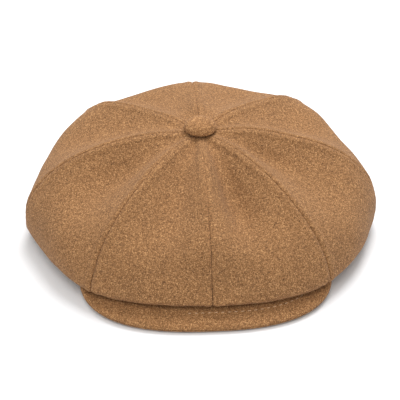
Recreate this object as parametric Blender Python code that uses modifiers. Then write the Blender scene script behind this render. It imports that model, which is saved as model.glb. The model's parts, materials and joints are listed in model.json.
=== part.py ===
"""Newsboy cap: eight-panel wool crown over a band and a stiff brim, lined, with a sweatband and a button.

Metres, +Z up, front of the cap towards -Y, wearer's left towards +X. The cap stands as it does on a table:
on the tip of its brim and the rear lower edge of its band. The origin is under the middle of its box.
"""

from math import asin, cos, pi, radians, sin

import bmesh
import bpy
import numpy as np
from mathutils import Euler, Vector
from mathutils.geometry import interpolate_bezier

# Fit on the head: inside of the sweatband, an oval for a 58 cm head.
HEAD_HALF_WIDTH = 0.0840
HEAD_HALF_LENGTH = 0.1000

# Cloth and stiffener thicknesses.
WOOL = 0.0018
LINING = 0.0008
BUCKRAM = 0.0010
TWILL = 0.0012
BOARD = 0.0016
LABEL = 0.0005
GAP = 0.0003

# Band: outer face of the oval, its height, and how far its front is held up off the table by the brim.
BAND_BUILD_UP = TWILL + BUCKRAM + WOOL + 2 * GAP
BAND_HALF_WIDTH = HEAD_HALF_WIDTH + BAND_BUILD_UP
BAND_HALF_LENGTH = HEAD_HALF_LENGTH + BAND_BUILD_UP
BAND_HEIGHT = 0.0300
FRONT_RAISE = 0.0120
BAND_TILT = asin(FRONT_RAISE / (2 * BAND_HALF_LENGTH))
BAND_STEPS = 60
STIFFENER_INSET = 0.0020
SWEATBAND_INSET = 0.0010
ELASTIC_ANGLE = 36

# Crown: a dome from the apex out to a soft edge, which rolls under and runs back in to the top of the band.
PANELS = 8
DOME_HEIGHT = 0.1000
DIMPLE_DEPTH = 0.0025
DIMPLE_FLAT = 0.0120
DIMPLE_RADIUS = 0.0420
APEX_HEIGHT = DOME_HEIGHT - DIMPLE_DEPTH
APEX_SETBACK = 0.0139
APEX_HOLE = 0.0030
CROWN_REACH = 0.1402
CROWN_WIDENING = 0.0106
CROWN_REAR_FULLNESS = 0.0009
CROWN_LEAN = 0.0012
EDGE_HEIGHT = 0.0184
EDGE_FRONT_LIFT = 0.0015
EDGE_SIDE_DROP = 0.0015
DOME_POWER = 0.76
DOME_POWER_SWING = 0.50
VALLEY_DEPTH = 0.0136
VALLEY_PLACE = 1.5
VALLEY_PLACE_SWING = -0.34
PANEL_FLATTENING = 0.0068
FRONT_ROUNDING = 0.85
ROLL_RADIUS = 0.0055
CROWN_CLEARANCE = 0.0005
SEAM_GAP = 0.0004
PANEL_COLUMNS = 6
PANEL_ROWS = 16
PROFILE_STEPS = 72
ROLL_STEPS = 24
NORMAL_STEP = radians(1.5)
LEVEL_RADIUS = 0.0300
BEND_WEIGHT = 0.040

# Brim: a crescent sewn round the front of the band.
BRIM_WRAP = radians(70)
BRIM_HALF_WIDTH = 0.1042
BRIM_TIP = 0.1401
BRIM_WIDEST = 0.0686
BRIM_SQUARENESS = 2.49
BRIM_END_WIDTH = 0.0050
BRIM_END_FULLNESS = 0.0180
BRIM_END_LEAN = 0.2
BRIM_FRONT_STEPS = 240
BRIM_END_STEPS = 24
BRIM_TURN = radians(-1.3)
BRIM_EDGE_HEIGHT = 0.0028
BRIM_EDGE_SLOPE = 0.07
BRIM_SEAM_HEIGHT = 0.0031
BRIM_SEAM_OFFSET = 0.0012
BRIM_EDGE_ROUND = 0.0024
BRIM_COLUMNS = 24
BRIM_ROWS = 3

# Covered button.
BUTTON_RADIUS = 0.0140
BUTTON_HEIGHT = 0.0086
BUTTON_CLOTH = 0.0011
BUTTON_SHELL = 0.0007
BUTTON_LIFT = 0.0006
BUTTON_RIM = 0.0016
BUTTON_HEM = 0.0006
BUTTON_HEM_HEIGHT = 0.0002
BACK_LOW = 0.0006
BACK_HIGH = 0.0014
THREAD_RADIUS = 0.0012
TOP_KNOT_RADIUS = 0.0024
TOP_KNOT_HEIGHT = 0.0012
BOTTOM_KNOT_RADIUS = 0.0040
BOTTOM_KNOT_HEIGHT = 0.0014
KNOT_CLEARANCE = 0.0009
DOME_STEPS = 5
TURNED_STEPS = 24

# Labels, all blank.
MAKER_LABEL_HALF_ANGLE = radians(11)
MAKER_LABEL_ROWS = (0.27, 0.42)
CARE_LABEL_WIDTH = 0.0220
CARE_LABEL_LENGTH = 0.0240
CARE_LABEL_THICKNESS = 0.0009
SIZE_LABEL_ANGLES = (147, 153)
SIZE_LABEL_HEIGHTS = (0.0090, 0.0225)

UP = Vector((0, 0, 1))

# Colours are linear RGB, then roughness and metallic.
MATERIALS = {
    "wool": ((0.361, 0.188, 0.087), 0.95, 0.0),
    "lining": ((0.070, 0.036, 0.020), 0.45, 0.0),
    "sweatband": ((0.110, 0.062, 0.036), 0.85, 0.0),
    "elastic": ((0.060, 0.035, 0.022), 0.80, 0.0),
    "buckram": ((0.620, 0.580, 0.480), 0.90, 0.0),
    "visor_plastic": ((0.550, 0.550, 0.530), 0.55, 0.0),
    "button_metal": ((0.560, 0.550, 0.530), 0.35, 1.0),
    "thread": ((0.230, 0.115, 0.052), 0.80, 0.0),
    "label": ((0.640, 0.560, 0.430), 0.75, 0.0),
}


def clear_scene():
    for obj in list(bpy.data.objects):
        bpy.data.objects.remove(obj, do_unlink=True)


def make_material(name):
    colour, roughness, metallic = MATERIALS[name]
    material = bpy.data.materials.new(name)
    material.use_nodes = True
    shader = material.node_tree.nodes["Principled BSDF"]
    shader.inputs["Base Color"].default_value = (*colour, 1.0)
    shader.inputs["Roughness"].default_value = roughness
    shader.inputs["Metallic"].default_value = metallic
    return material


class Cap:
    """The collection, the materials and the empties that the pieces hang on."""

    def __init__(self):
        self.parts = bpy.data.collections.new("newsboy_cap")
        bpy.context.scene.collection.children.link(self.parts)
        self.materials = {name: make_material(name) for name in MATERIALS}
        self.root = self.add_empty("cap_frame", Vector((0, 0, 0)), None)

    def add_empty(self, name, place, parent):
        empty = bpy.data.objects.new(name, None)
        empty.empty_display_size = 0.03
        empty.location = place
        empty.parent = parent
        self.parts.objects.link(empty)
        return empty

    def add_mesh(self, name, slot, mesh, parent=None):
        """One named piece from a bmesh in the cap's frame; its origin lies on its parent empty."""
        holder = parent or self.root
        bmesh.ops.recalc_face_normals(mesh, faces=mesh.faces)
        bmesh.ops.translate(mesh, verts=mesh.verts, vec=-holder.location)
        data = bpy.data.meshes.new(name)
        mesh.to_mesh(data)
        mesh.free()
        data.shade_smooth()
        data.set_sharp_from_angle(angle=radians(40))
        data.materials.append(self.materials[slot])
        obj = bpy.data.objects.new(name, data)
        obj.parent = holder
        self.parts.objects.link(obj)
        return obj


def thicken(obj, thickness):
    """Gives an open surface its thickness on the side its normals point away from."""
    solid = obj.modifiers.new("thickness", "SOLIDIFY")
    solid.thickness = thickness
    solid.offset = -1
    solid.use_even_offset = True


def turn(obj):
    """Turns a profile in the XZ plane once round the Z axis."""
    screw = obj.modifiers.new("turned", "SCREW")
    screw.steps = TURNED_STEPS
    screw.render_steps = TURNED_STEPS
    screw.use_merge_vertices = True
    screw.merge_threshold = 0.00001
    screw.use_smooth_shade = True


def spread_evenly(points, count, bend_weight=0.0):
    """The same line with its points evenly spaced; each radian of bend counts as bend_weight of length."""
    steps = np.diff(points, axis=0)
    lengths = np.linalg.norm(steps, axis=1)
    headings = steps / lengths[:, None]
    bends = np.arccos(np.clip((headings[1:] * headings[:-1]).sum(axis=1), -1, 1))
    lengths[1:] += bend_weight * bends
    travelled = np.concatenate([[0], np.cumsum(lengths)])
    places = np.linspace(0, travelled[-1], count)
    return np.stack([np.interp(places, travelled, points[:, axis]) for axis in range(3)], axis=1)


def surface_grid(columns, rows, place):
    """An open grid whose vertex at column i and row j lies at place(i, j), facing its outer side."""
    mesh = bmesh.new()
    bmesh.ops.create_grid(mesh, x_segments=columns, y_segments=rows, size=0.5)
    for vertex in mesh.verts:
        column = round((vertex.co.x + 0.5) * columns)
        row = round((vertex.co.y + 0.5) * rows)
        vertex.co = place(column, row)
    return mesh


# Band ------------------------------------------------------------------------------------------------------


def band_point(angle, height, outward=0.0):
    """A point on the band's outer face; the angle is 0 at the front and grows towards the wearer's left."""
    across = (BAND_HALF_WIDTH + outward) * sin(angle)
    along = -(BAND_HALF_LENGTH + outward) * cos(angle) - BAND_HALF_LENGTH
    level = -along * sin(BAND_TILT) + height * cos(BAND_TILT)
    return Vector((across, along * cos(BAND_TILT) + height * sin(BAND_TILT) + BAND_HALF_LENGTH, level))


def make_band_strip(cap, name, slot, outward, thickness, heights, angles, steps):
    """A strip that follows the band's oval between two angles in degrees, with its outer face at outward."""
    first, last = (radians(angle) for angle in angles)
    low, high = heights

    def place(column, row):
        angle = first + (last - first) * column / steps
        return band_point(angle, low + (high - low) * row, outward)

    obj = cap.add_mesh(name, slot, surface_grid(steps, 1, place))
    face_outward(obj, Vector((0, 0, BAND_HEIGHT / 2)))
    thicken(obj, thickness)
    return obj


def face_outward(obj, middle):
    """Turns an open surface round if its normals point towards the middle."""
    total = sum((face.center - middle).dot(face.normal) * face.area for face in obj.data.polygons)
    if total < 0:
        obj.data.flip_normals()


def make_band(cap):
    seam = np.degrees(SEAM_GAP / BAND_HALF_LENGTH)
    back = (-180 + seam, 180 - seam)
    half_elastic = ELASTIC_ANGLE / 2
    make_band_strip(cap, "outer_band", "wool", 0, WOOL, (0, BAND_HEIGHT), back, BAND_STEPS)
    inset = -WOOL - GAP
    heights = (STIFFENER_INSET, BAND_HEIGHT - STIFFENER_INSET)
    make_band_strip(cap, "band_stiffener", "buckram", inset, BUCKRAM, heights, back, BAND_STEPS)
    inset -= BUCKRAM + GAP
    heights = (SWEATBAND_INSET, BAND_HEIGHT)
    ends = (-180 + half_elastic, 180 - half_elastic)
    steps = round(BAND_STEPS * (360 - ELASTIC_ANGLE) / 360)
    make_band_strip(cap, "sweatband", "sweatband", inset, TWILL, heights, ends, steps)
    ends = (180 - half_elastic + seam, 180 + half_elastic - seam)
    make_band_strip(cap, "sweatband_elastic", "elastic", inset, TWILL, heights, ends, BAND_STEPS - steps)


# Crown -----------------------------------------------------------------------------------------------------


def crown_profile(angle):
    """The crown's outer line at one angle, from the hole at the apex, over the edge, back in to the band."""
    reach = CROWN_REACH - CROWN_WIDENING * cos(2 * angle)
    reach += CROWN_REAR_FULLNESS * cos(3 * angle) + CROWN_LEAN * sin(angle)
    edge_height = EDGE_HEIGHT + EDGE_FRONT_LIFT * cos(angle) + EDGE_SIDE_DROP * cos(2 * angle)
    power = DOME_POWER + DOME_POWER_SWING * cos(angle)
    between_seams = abs(sin(PANELS / 2 * angle))
    turn_to_edge = np.linspace(asin(APEX_HOLE / reach), pi / 2, PROFILE_STEPS)
    spread = np.sin(turn_to_edge)
    flattening = PANEL_FLATTENING * (1 - FRONT_ROUNDING * max(cos(angle), 0) ** 2)
    radius = reach * spread - flattening * between_seams**2 * spread**6
    place = VALLEY_PLACE + VALLEY_PLACE_SWING * cos(angle)
    valley = VALLEY_DEPTH * between_seams**1.3 * np.sin(pi * spread**place)
    dome = np.maximum(np.cos(turn_to_edge), 0) ** power
    to_dimple = np.clip((radius - DIMPLE_FLAT) / (DIMPLE_RADIUS - DIMPLE_FLAT), 0, 1)
    dimple = DIMPLE_DEPTH * (1 - to_dimple**2 * (3 - 2 * to_dimple))
    height = edge_height + (DOME_HEIGHT - edge_height) * dome - valley - dimple
    x = radius * sin(angle)
    y = APEX_SETBACK * (1 - spread) - radius * cos(angle)
    upper = np.stack([x, y, height], axis=1)
    return np.concatenate([upper, crown_underside(angle, upper[-1])])


def crown_underside(angle, edge):
    """The crown's line from its edge: an arc that rolls under, then straight in to just above the band."""
    end = np.array(band_point(angle, BAND_HEIGHT + CROWN_CLEARANCE, CROWN_CLEARANCE))
    distance = np.hypot(*(end - edge)[:2])
    inward = (end - edge)[:2] / distance
    rise = end[2] - edge[2]
    from_centre = np.hypot(distance - ROLL_RADIUS, rise)
    last = 2 * pi + np.arctan2(rise, distance - ROLL_RADIUS) - np.arccos(ROLL_RADIUS / from_centre)
    arc = np.linspace(pi, last, ROLL_STEPS)[1:]
    across = ROLL_RADIUS * (1 + np.cos(arc))
    x, y = edge[:2, None] + inward[:, None] * across
    roll = np.stack([x, y, edge[2] + ROLL_RADIUS * np.sin(arc)], axis=1)
    straight = np.linspace(roll[-1], end, ROLL_STEPS)[1:]
    return np.concatenate([roll, straight])


def crown_line(angle, depth, share=(0.0, 1.0)):
    """Evenly spaced points along the crown at one angle, sunk by depth from its outer face."""
    rows = PANEL_ROWS + 1
    line, ahead, behind = (
        spread_evenly(crown_profile(angle + step), rows, BEND_WEIGHT)
        for step in (0, NORMAL_STEP, -NORMAL_STEP)
    )
    inward = np.cross(ahead - behind, np.gradient(line, axis=0))
    inward /= np.linalg.norm(inward, axis=1)[:, None]
    from_apex = np.hypot(line[:, 0], line[:, 1] - APEX_SETBACK) / LEVEL_RADIUS
    inward = inward - np.array(UP) * np.maximum(1 / from_apex - 1, 0)[:, None]
    inward /= np.linalg.norm(inward, axis=1)[:, None]
    sunk = line + depth * inward
    places = np.linspace(share[0], share[1], rows) * PANEL_ROWS
    whole = np.arange(rows)
    return np.stack([np.interp(places, whole, sunk[:, axis]) for axis in range(3)], axis=1)


def make_gore(cap, name, slot, angles, depths, share=(0.0, 1.0), columns=PANEL_COLUMNS):
    """A closed piece of the crown's skin between two angles and two depths, lofted from column to column."""
    mesh = bmesh.new()
    sections = []
    for column in range(columns + 1):
        angle = angles[0] + (angles[1] - angles[0]) * column / columns
        outer = crown_line(angle, depths[0], share)
        inner = crown_line(angle, depths[1], share)
        sections.append(np.concatenate([outer, inner[::-1]]))
    narrow_for_seams(sections)
    rings = [[mesh.verts.new(point) for point in section] for section in sections]
    for ring, following in zip(rings, rings[1:]):
        join_rings(mesh, ring, following)
    for ring in (rings[0], rings[-1]):
        cap_end(mesh, ring)
    return cap.add_mesh(name, slot, mesh)


def join_rings(mesh, ring, following):
    """Triangles between two rings; both skins are cut along the same diagonals, so that layers stay apart."""
    for index in range(len(ring)):
        near, far = (ring[index - 1], ring[index]), (following[index - 1], following[index])
        if index > len(ring) // 2:
            near, far = near[::-1], far[::-1]
        mesh.faces.new((near[0], near[1], far[1]))
        mesh.faces.new((near[0], far[1], far[0]))


def narrow_for_seams(sections):
    """Moves the two end sections inwards by half the seam gap."""
    for end, beside in ((0, 1), (-1, -2)):
        inward = sections[beside] - sections[end]
        length = np.linalg.norm(inward, axis=1)[:, None]
        sections[end] = sections[end] + inward / length * SEAM_GAP / 2


def cap_end(mesh, ring):
    """Closes one end of a gore with a strip of triangles between its outer and inner rows."""
    half = len(ring) // 2
    for row in range(half - 1):
        mesh.faces.new((ring[row], ring[row + 1], ring[-row - 2]))
        mesh.faces.new((ring[row], ring[-row - 2], ring[-row - 1]))


def make_crown(cap):
    step = 2 * pi / PANELS
    lining_depth = WOOL + 2 * GAP
    for index in range(PANELS):
        angles = (index * step, (index + 1) * step)
        make_gore(cap, f"crown_panel_{index + 1}", "wool", angles, (0, WOOL))
        depths = (lining_depth, lining_depth + LINING)
        make_gore(cap, f"lining_panel_{index + 1}", "lining", angles, depths)


# Brim ------------------------------------------------------------------------------------------------------


def brim_outline(count):
    """The brim's outer edge from the wearer's right round the tip to the left, evenly spaced."""
    power = 2 / BRIM_SQUARENESS
    points = []
    for turn_angle in np.linspace(-pi / 2, pi / 2, BRIM_FRONT_STEPS):
        x = BRIM_HALF_WIDTH * np.sign(turn_angle) * abs(sin(turn_angle)) ** power
        y = -BRIM_WIDEST - (BRIM_TIP - BRIM_WIDEST) * abs(cos(turn_angle)) ** power
        place = Vector((x, y, BRIM_EDGE_HEIGHT + BRIM_EDGE_SLOPE * (y + BRIM_TIP)))
        place.rotate(Euler((0, 0, BRIM_TURN)))
        points.append(place)
    right = brim_end(points[0], -BRIM_WRAP)
    left = brim_end(points[-1], BRIM_WRAP)
    return spread_evenly(np.array(right[::-1] + points[1:-1] + left), count)


def brim_end(widest, angle):
    """The outline's last stretch, from its widest point back in to the band."""
    end = band_point(angle, BRIM_SEAM_HEIGHT, BRIM_END_WIDTH)
    behind_widest = widest + Vector((0, BRIM_END_FULLNESS, 0))
    beside_end = end.lerp(widest, BRIM_END_LEAN)
    return list(interpolate_bezier(widest, behind_widest, beside_end, end, BRIM_END_STEPS))


def make_brim_layer(cap, name, slot, parent, top, thickness, edge):
    """One layer of the brim: its top above the brim's middle surface, its edge in from the brim's outline."""
    outline = brim_outline(BRIM_COLUMNS + 1)

    def place(column, row):
        angle = BRIM_WRAP * (2 * column / BRIM_COLUMNS - 1)
        inner = band_point(angle, BRIM_SEAM_HEIGHT, BRIM_SEAM_OFFSET)
        outer = Vector(outline[column])
        outward = (outer - inner).normalized()
        point = inner.lerp(outer - outward * edge, row / BRIM_ROWS)
        return point + top * UP

    obj = cap.add_mesh(name, slot, surface_grid(BRIM_COLUMNS, BRIM_ROWS, place), parent)
    if sum(face.normal.z * face.area for face in obj.data.polygons) < 0:
        obj.data.flip_normals()
    thicken(obj, thickness)
    return obj


def make_brim(cap):
    hinge_point = band_point(0, BRIM_SEAM_HEIGHT, GAP)
    hinge = cap.add_empty("brim_hinge", hinge_point, cap.root)
    board_top = BOARD / 2
    cover_top = board_top + GAP + WOOL
    under_top = -board_top - GAP
    make_brim_layer(cap, "brim_top_cover", "wool", hinge, cover_top, WOOL, 0)
    make_brim_layer(cap, "brim_board", "visor_plastic", hinge, board_top, BOARD, BRIM_EDGE_ROUND)
    make_brim_layer(cap, "brim_under_cover", "wool", hinge, under_top, WOOL, 0)


# Button ----------------------------------------------------------------------------------------------------


def make_turned(cap, name, slot, profile):
    """A turned piece on the apex axis from its outline: radius and height pairs, heights above the crown."""
    data = bpy.data.meshes.new(name)
    base = APEX_HEIGHT + BUTTON_LIFT
    vertices = [(radius, 0, base + height) for radius, height in profile]
    closed = profile[0][0] > 0
    count = len(profile)
    edges = [(i, (i + 1) % count) for i in range(count if closed else count - 1)]
    data.from_pydata(vertices, edges, [])
    data.materials.append(cap.materials[slot])
    obj = bpy.data.objects.new(name, data)
    obj.parent = cap.root
    obj.location = (0, APEX_SETBACK, 0)
    cap.parts.objects.link(obj)
    turn(obj)
    return obj


def dome_line(radius, height):
    """Points of a domed cap from its axis out to its rim, radius and height pairs, top to bottom."""
    angles = np.linspace(0, pi / 2, DOME_STEPS + 1)
    return [(radius * sin(angle), BUTTON_RIM + (height - BUTTON_RIM) * cos(angle)) for angle in angles]


def make_button(cap):
    cover = dome_line(BUTTON_RADIUS, BUTTON_HEIGHT)
    inside_radius = BUTTON_RADIUS - BUTTON_CLOTH
    inside = dome_line(inside_radius, BUTTON_HEIGHT - BUTTON_CLOTH)
    hem = BUTTON_HEM_HEIGHT
    lip = [(BUTTON_RADIUS - BUTTON_HEM, hem), (inside_radius - hem, hem)]
    make_turned(cap, "button_cover", "wool", cover + lip + inside[::-1])
    shell_radius = BUTTON_RADIUS - BUTTON_CLOTH - GAP
    shell_height = BUTTON_HEIGHT - BUTTON_CLOTH - GAP
    shell = dome_line(shell_radius, shell_height)
    hollow = dome_line(shell_radius - BUTTON_SHELL, shell_height - BUTTON_SHELL)
    make_turned(cap, "button_shell", "button_metal", shell + hollow[::-1])
    make_button_back(cap, shell_radius - BUTTON_SHELL - GAP)
    make_thread(cap)


def make_button_back(cap, radius):
    """A plate with a hole in its middle for the thread."""
    hole = THREAD_RADIUS + GAP
    outline = [(radius, BACK_HIGH), (radius, BACK_LOW), (hole, BACK_LOW), (hole, BACK_HIGH)]
    make_turned(cap, "button_back", "button_metal", outline)


def make_thread(cap):
    """Thread knotted above the back plate, led through the hole at the apex, and knotted inside the lining."""
    plate_top = BACK_HIGH + GAP
    lining_face = -BUTTON_LIFT - WOOL - 2 * GAP - LINING - KNOT_CLEARANCE
    outline = [
        (0, plate_top + TOP_KNOT_HEIGHT),
        (TOP_KNOT_RADIUS * cos(pi / 4), plate_top + TOP_KNOT_HEIGHT * sin(pi / 4)),
        (TOP_KNOT_RADIUS, plate_top),
        (THREAD_RADIUS, plate_top),
        (THREAD_RADIUS, lining_face),
        (BOTTOM_KNOT_RADIUS, lining_face),
        (BOTTOM_KNOT_RADIUS * cos(pi / 4), lining_face - BOTTOM_KNOT_HEIGHT * sin(pi / 4)),
        (0, lining_face - BOTTOM_KNOT_HEIGHT),
    ]
    make_turned(cap, "button_thread", "thread", outline)


# Labels ----------------------------------------------------------------------------------------------------


def make_maker_label(cap):
    """A blank patch sewn flat to one of the two rear lining panels."""
    middle = pi - pi / PANELS
    angles = (middle - MAKER_LABEL_HALF_ANGLE, middle + MAKER_LABEL_HALF_ANGLE)
    depth = WOOL + 2 * GAP + LINING + 3 * GAP
    depths = (depth, depth + LABEL)
    make_gore(cap, "maker_label", "label", angles, depths, MAKER_LABEL_ROWS, columns=3)


def make_size_label(cap):
    """A small blank tab sewn to the sweatband beside the elastic."""
    inset = -BAND_BUILD_UP - 2 * GAP
    make_band_strip(cap, "size_label", "label", inset, LABEL, SIZE_LABEL_HEIGHTS, SIZE_LABEL_ANGLES, 2)


def make_care_label(cap):
    """A folded label that hangs from the top seam of the sweatband at the wearer's left."""
    inset = -BAND_BUILD_UP - 4 * GAP - CARE_LABEL_THICKNESS / 2
    top = band_point(pi / 2, BAND_HEIGHT - SWEATBAND_INSET, inset)
    hinge = cap.add_empty("care_label_hinge", top, cap.root)
    mesh = bmesh.new()
    bmesh.ops.create_cube(mesh, size=1.0)
    bmesh.ops.scale(mesh, vec=(CARE_LABEL_THICKNESS, CARE_LABEL_WIDTH, CARE_LABEL_LENGTH), verts=mesh.verts)
    bmesh.ops.translate(mesh, vec=top - UP * CARE_LABEL_LENGTH / 2, verts=mesh.verts)
    obj = cap.add_mesh("care_label", "label", mesh, hinge)
    obj.rotation_euler.x = -BAND_TILT
    bevel = obj.modifiers.new("soft_edges", "BEVEL")
    bevel.width = CARE_LABEL_THICKNESS / 3
    bevel.segments = 1


# Assembly --------------------------------------------------------------------------------------------------


def centre_on_floor(cap):
    """Moves the whole cap so that its bounding box stands on the origin."""
    graph = bpy.context.evaluated_depsgraph_get()
    corners = []
    for obj in cap.parts.objects:
        if obj.type == "MESH":
            done = obj.evaluated_get(graph)
            corners += [done.matrix_world @ vertex.co for vertex in done.data.vertices]
    corners = np.array(corners)
    low, high = corners.min(axis=0), corners.max(axis=0)
    middle = (low + high) / 2
    cap.root.location = (-middle[0], -middle[1], -low[2])


def main():
    clear_scene()
    cap = Cap()
    make_band(cap)
    make_crown(cap)
    make_brim(cap)
    make_button(cap)
    make_maker_label(cap)
    make_size_label(cap)
    make_care_label(cap)
    bpy.context.view_layer.update()
    centre_on_floor(cap)
    bpy.context.view_layer.update()


main()
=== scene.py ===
"""The looks of the newsboy cap: cloth pieces with their seams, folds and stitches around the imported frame.

Metres, +Z up, front of the cap towards -Y, wearer's left towards +X. The shape functions repeat the
solids' own.
"""

import json
from math import asin, cos, pi, radians, sin, tau

import bpy
import numpy as np
from mathutils import Euler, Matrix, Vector, noise
from mathutils.geometry import interpolate_bezier


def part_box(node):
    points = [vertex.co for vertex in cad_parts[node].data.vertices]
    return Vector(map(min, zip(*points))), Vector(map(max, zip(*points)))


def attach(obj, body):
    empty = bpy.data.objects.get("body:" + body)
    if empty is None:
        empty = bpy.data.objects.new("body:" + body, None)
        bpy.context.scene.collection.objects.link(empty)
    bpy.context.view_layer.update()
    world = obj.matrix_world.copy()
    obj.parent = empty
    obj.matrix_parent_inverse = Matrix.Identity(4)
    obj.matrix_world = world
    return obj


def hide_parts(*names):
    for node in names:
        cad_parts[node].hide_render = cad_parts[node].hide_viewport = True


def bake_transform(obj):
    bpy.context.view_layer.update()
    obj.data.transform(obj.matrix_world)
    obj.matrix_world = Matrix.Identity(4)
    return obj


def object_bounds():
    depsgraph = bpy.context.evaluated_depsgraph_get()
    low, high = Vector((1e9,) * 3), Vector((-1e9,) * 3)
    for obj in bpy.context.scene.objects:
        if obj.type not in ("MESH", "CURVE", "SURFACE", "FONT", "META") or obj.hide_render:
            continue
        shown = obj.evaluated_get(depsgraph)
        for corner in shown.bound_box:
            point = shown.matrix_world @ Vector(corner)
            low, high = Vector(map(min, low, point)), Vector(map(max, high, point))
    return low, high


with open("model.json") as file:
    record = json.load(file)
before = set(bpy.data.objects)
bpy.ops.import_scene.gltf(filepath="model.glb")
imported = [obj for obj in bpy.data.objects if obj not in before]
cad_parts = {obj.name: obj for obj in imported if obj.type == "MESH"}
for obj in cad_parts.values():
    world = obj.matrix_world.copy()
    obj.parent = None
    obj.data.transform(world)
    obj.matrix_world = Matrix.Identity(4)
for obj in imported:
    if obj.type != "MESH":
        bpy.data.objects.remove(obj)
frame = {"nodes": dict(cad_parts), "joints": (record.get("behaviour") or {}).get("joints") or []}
cad_low, cad_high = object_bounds()

# Sizes that the solids were made to.
HEAD_HALF_WIDTH = 0.0840
HEAD_HALF_LENGTH = 0.1000
WOOL = 0.0018
LINING = 0.0008
BUCKRAM = 0.0010
TWILL = 0.0012
BOARD = 0.0016
LABEL = 0.0005
GAP = 0.0003
BAND_BUILD_UP = TWILL + BUCKRAM + WOOL + 2 * GAP
BAND_HALF_WIDTH = HEAD_HALF_WIDTH + BAND_BUILD_UP
BAND_HALF_LENGTH = HEAD_HALF_LENGTH + BAND_BUILD_UP
BAND_HEIGHT = 0.0300
FRONT_RAISE = 0.0120
BAND_TILT = asin(FRONT_RAISE / (2 * BAND_HALF_LENGTH))
SWEATBAND_INSET = 0.0010
ELASTIC_HALF_ANGLE = 18
PANELS = 8
DOME_HEIGHT = 0.1000
DIMPLE_DEPTH = 0.0025
DIMPLE_FLAT = 0.0120
DIMPLE_RADIUS = 0.0420
APEX_SETBACK = 0.0139
APEX_HOLE = 0.0030
CROWN_REACH = 0.1402
CROWN_WIDENING = 0.0106
CROWN_REAR_FULLNESS = 0.0009
CROWN_LEAN = 0.0012
EDGE_HEIGHT = 0.0184
EDGE_FRONT_LIFT = 0.0015
EDGE_SIDE_DROP = 0.0015
DOME_POWER = 0.76
DOME_POWER_SWING = 0.50
VALLEY_DEPTH = 0.0136
VALLEY_PLACE = 1.5
VALLEY_PLACE_SWING = -0.34
PANEL_FLATTENING = 0.0068
FRONT_ROUNDING = 0.85
ROLL_RADIUS = 0.0055
CROWN_CLEARANCE = 0.0005
PROFILE_STEPS = 72
ROLL_STEPS = 24
BEND_WEIGHT = 0.040
LEVEL_RADIUS = 0.0300
BRIM_WRAP = radians(70)
BRIM_HALF_WIDTH = 0.1042
BRIM_TIP = 0.1401
BRIM_WIDEST = 0.0686
BRIM_SQUARENESS = 2.49
BRIM_END_WIDTH = 0.0050
BRIM_END_FULLNESS = 0.0180
BRIM_END_LEAN = 0.2
BRIM_FRONT_STEPS = 240
BRIM_END_STEPS = 24
BRIM_TURN = radians(-1.3)
BRIM_EDGE_HEIGHT = 0.0028
BRIM_EDGE_SLOPE = 0.07
BRIM_SEAM_HEIGHT = 0.0031
BRIM_SEAM_OFFSET = 0.0012
BUTTON_RADIUS = 0.0140
BUTTON_HEIGHT = 0.0086
BUTTON_CLOTH = 0.0011
BUTTON_RIM = 0.0016
SIZE_LABEL_ANGLES = (147, 153)
SIZE_LABEL_HEIGHTS = (0.0090, 0.0225)

# How far the finished cloth stands proud of its solid: the brim at each side, and the button's dome.
BRIM_PROUD = 0.0018
BUTTON_PROUD = 0.0012

# Flat sizes that the pieces were cut to.
CARE_LABEL_CUT = (0.0216, 0.047)

# Mesh fineness: counts of columns and rows, and how much the columns crowd towards the seams.
PANEL_COLUMNS = 44
CROWN_ROWS = 150
SEAM_CROWDING = 0.97
BAND_COLUMNS = 360
BRIM_COLUMNS = 150
BRIM_ROWS = 34
BRIM_TURN_ROWS = 12
BUTTON_COLUMNS = 96
BUTTON_ROWS = 22

# Sewn details of the crown. Each panel's edge rolls down into the seam, leaving a hair between the two, and
# the allowances inside lift a welt beside it. At the sides the seams stand up in crests.
SEAM_ROLL = 0.0019
SEAM_APART = 0.00022
SEAM_WELT = 0.0006
SEAM_WELT_PLACE = 0.0042
SEAM_WELT_SPAN = 0.0034
SEAM_CREST = 0.0014
SEAM_CREST_WIDTH = 0.0100
PUCKER_DEPTH = 0.00018
PUCKER_PITCH = 0.0070
PUCKER_REACH = 0.005
UNEVENNESS = 0.0011
GATHERS = 61
GATHER_DEPTH = 0.0007

# Where the crown sags or, with a depth below 0, fills out: angle and its span in degrees, share of the way
# from the apex to the band and its span, and depth.
SOFT_FOLDS = (
    (20, 13, 0.38, 0.28, 0.0074),
    (-19, 12, 0.36, 0.20, 0.0016),
    (-68, 15, 0.33, 0.24, 0.0034),
    (68, 12, 0.26, 0.16, 0.0030),
    (0, 62, 0.69, 0.11, 0.0034),
    (0, 24, 0.75, 0.15, 0.0064),
    (32, 20, 0.71, 0.17, -0.0034),
    (-30, 20, 0.70, 0.17, -0.0026),
    (66, 18, 0.70, 0.18, -0.0032),
    (-67, 18, 0.70, 0.18, -0.0038),
    (-90, 12, 0.70, 0.16, -0.0030),
    (90, 10, 0.70, 0.14, -0.0012),
    (-118, 26, 0.58, 0.32, -0.0050),
    (125, 16, 0.55, 0.25, -0.0020),
    (-160, 20, 0.45, 0.30, -0.0048),
    (160, 20, 0.45, 0.30, -0.0036),
    (180, 9, 0.40, 0.30, 0.0013),
)

# Where the crown's front rests on the brim: room left, angles in degrees over which that fades out, how much
# further on the way than its lowest point the cloth comes down, and over what share of the way.
REST_CLEARANCE = 0.0020
REST_ANGLES = (45, 66)
REST_FURTHER = 0.02
REST_SPAN = 0.11

# The front panels, whose lower edge rests on the brim.
FRONT_PANELS = (0, 1, 6, 7)

# The lining's slack at its least and more where it wanders, and its gathers towards the band.
LINING_SLACK = 0.0004
LINING_WANDER = 0.0011
LINING_GATHER = 0.0009
LINING_GATHERS = 43

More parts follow.
